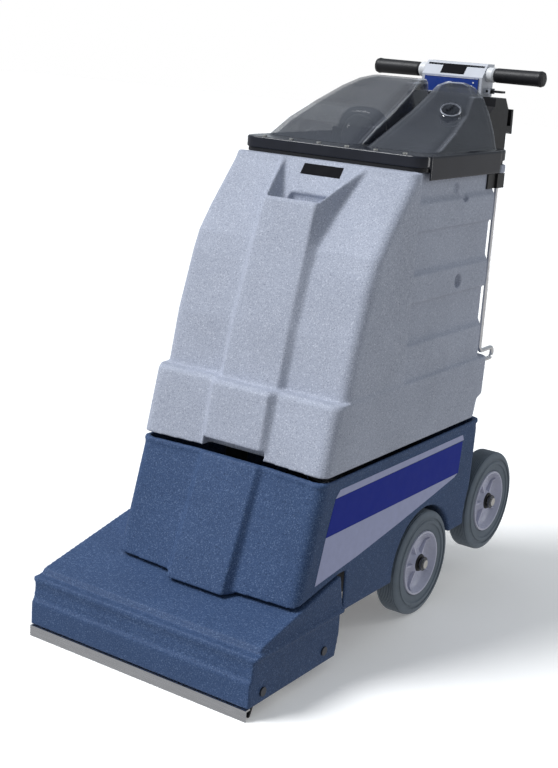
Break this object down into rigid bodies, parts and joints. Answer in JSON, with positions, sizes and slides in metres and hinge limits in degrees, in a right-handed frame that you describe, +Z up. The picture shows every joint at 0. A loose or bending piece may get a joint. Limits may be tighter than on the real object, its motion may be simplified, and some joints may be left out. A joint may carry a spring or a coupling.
{
  "type": "carpet cleaner",
  "caption": "Walk-behind carpet cleaner with a wide brush hood, vacuum shoe, grey tank tilting on a blue wheeled base, clear domed lid and rear handle.",
  "frame": {"origin": "on the floor, on the base's centre plane, under the vacuum shoe's front lip", "axes": "+X to the machine's right seen from the front, +Y towards the handle, +Z up"},
  "size_m": [0.4655, 0.9235, 0.981],
  "materials": {
    "blue_moulding": "speckled dark blue rotomoulded polyethylene",
    "grey_moulding": "speckled light grey rotomoulded polyethylene",
    "clear_dome": "smoked clear moulding",
    "black_moulding": "textured black plastic",
    "panel_blue": "smooth blue panel",
    "grey_tyre": "grey non-marking rubber",
    "hub_plastic": "grey moulded hub",
    "zinc_steel": "zinc-plated steel",
    "painted_steel": "black powder coat",
    "chrome_rod": "bright chrome",
    "motor_metal": "cast and turned motor case",
    "bristle_nylon": "packed nylon tufts",
    "white_plastic": "white moulded pipe",
    "red_plastic": "red lever",
    "black_rubber": "black rubber"
  },
  "bodies": {
    "chassis": {"brush_hood": "blue_moulding", "hood_screws": "zinc_steel", "base_shell": "blue_moulding", "chassis_plate": "painted_steel", "rear_axle_bracket": "painted_steel", "main_axle": "zinc_steel", "rear_axle": "zinc_steel", "axle_push_nuts": "zinc_steel", "brush_motor": "motor_metal", "drive_belt": "black_rubber", "brush_bearings": "zinc_steel", "vacuum_shoe": "black_moulding", "shoe_lip": "black_moulding", "recovery_duct": "white_plastic", "hinge_leaf_base": "zinc_steel", "hinge_pin": "zinc_steel", "vacuum_motor": "motor_metal", "solution_pump": "motor_metal", "base_hoses": "black_rubber", "spray_bar": "zinc_steel"},
    "tank": {"tank_shell": "grey_moulding", "recovery_pipe": "white_plastic", "vacuum_pipe": "white_plastic", "float_cage": "black_moulding", "solution_strainer": "white_plastic", "drain_valve": "grey_moulding", "tank_gasket": "black_rubber", "lid_dome": "clear_dome", "lid_screws": "zinc_steel", "hinge_leaf_tank": "zinc_steel", "handle_bracket": "painted_steel", "side_rails": "chrome_rod", "handle_column": "black_moulding", "cord_hooks": "black_moulding", "cord_inlet": "black_moulding", "console_shell": "grey_moulding", "handle_bar": "chrome_rod", "grip_collars": "white_plastic", "handle_grips": "black_rubber", "console_panel": "panel_blue"},
    "main_wheel_left": {"main_tyre_left": "grey_tyre", "main_hub_left": "hub_plastic"},
    "main_wheel_right": {"main_tyre_right": "grey_tyre", "main_hub_right": "hub_plastic"},
    "rear_wheel_left": {"rear_tyre_left": "grey_tyre", "rear_hub_left": "hub_plastic"},
    "rear_wheel_right": {"rear_tyre_right": "grey_tyre", "rear_hub_right": "hub_plastic"},
    "brush": {"brush_core": "white_plastic", "brush_bristles": "bristle_nylon", "brush_pulley": "zinc_steel"},
    "motor_drive": {"motor_pulley": "zinc_steel"},
    "fill_cap": {"fill_cap": "clear_dome"},
    "float_ball": {"float_ball": "white_plastic"},
    "drain_lever": {"drain_lever": "red_plastic"},
    "selector_knob": {"selector_knob": "white_plastic"},
    "rocker_vacuum": {"rocker_vacuum": "black_moulding"},
    "rocker_brush": {"rocker_brush": "black_moulding"},
    "finger_lever": {"finger_lever": "black_moulding"}
  },
  "joints": [
    {"name": "main_wheel_left_spin", "type": "hinge", "parent": "chassis", "child": "main_wheel_left", "pos_m": [-0.165, 0.54, 0.098], "axis": [1, 0, 0], "continuous": true},
    {"name": "main_wheel_right_spin", "type": "hinge", "parent": "chassis", "child": "main_wheel_right", "pos_m": [0.165, 0.54, 0.098], "axis": [1, 0, 0], "continuous": true},
    {"name": "rear_wheel_left_spin", "type": "hinge", "parent": "chassis", "child": "rear_wheel_left", "pos_m": [-0.165, 0.807, 0.149], "axis": [1, 0, 0], "continuous": true},
    {"name": "rear_wheel_right_spin", "type": "hinge", "parent": "chassis", "child": "rear_wheel_right", "pos_m": [0.165, 0.807, 0.149], "axis": [1, 0, 0], "continuous": true},
    {"name": "brush_spin", "type": "hinge", "parent": "chassis", "child": "brush", "pos_m": [0, 0.106, 0.05], "axis": [1, 0, 0], "continuous": true},
    {"name": "motor_spin", "type": "hinge", "parent": "chassis", "child": "motor_drive", "pos_m": [-0.25, 0.206, 0.104], "axis": [1, 0, 0], "continuous": true},
    {"name": "tank_tilt", "type": "hinge", "parent": "chassis", "child": "tank", "pos_m": [0, 0.742, 0.341], "axis": [-1, 0, 0], "range_deg": [0, 60]},
    {"name": "fill_cap_turn", "type": "hinge", "parent": "tank", "child": "fill_cap", "pos_m": [0.124, 0.6, 0.902], "axis": [0.2404, -0.5009, 0.8315], "range_deg": [0, 90]},
    {"name": "float_rise", "type": "slide", "parent": "tank", "child": "float_ball", "axis": [0, 0, 1], "range_m": [0, 0.032]},
    {"name": "drain_lever_turn", "type": "hinge", "parent": "tank", "child": "drain_lever", "pos_m": [-0.135, 0.751, 0.43], "axis": [0, 0, 1], "range_deg": [0, 90]},
    {"name": "selector_turn", "type": "hinge", "parent": "tank", "child": "selector_knob", "pos_m": [0, 0.828, 0.938], "axis": [0, 1, 0], "range_deg": [-60, 60]},
    {"name": "rocker_vacuum_tip", "type": "hinge", "parent": "tank", "child": "rocker_vacuum", "pos_m": [-0.025, 0.877, 0.952], "axis": [1, 0, 0], "range_deg": [0, 12]},
    {"name": "rocker_brush_tip", "type": "hinge", "parent": "tank", "child": "rocker_brush", "pos_m": [0.025, 0.877, 0.952], "axis": [1, 0, 0], "range_deg": [0, 12]},
    {"name": "finger_lever_squeeze", "type": "hinge", "parent": "tank", "child": "finger_lever", "pos_m": [0.07, 0.856, 0.932], "axis": [0, -1, 0], "range_deg": [0, 14], "stiffness_Nm_per_rad": 0.3}
  ],
  "couplings": [
    {"joint": "motor_spin", "follows": "brush_spin", "ratio": 2.2857}
  ]
}
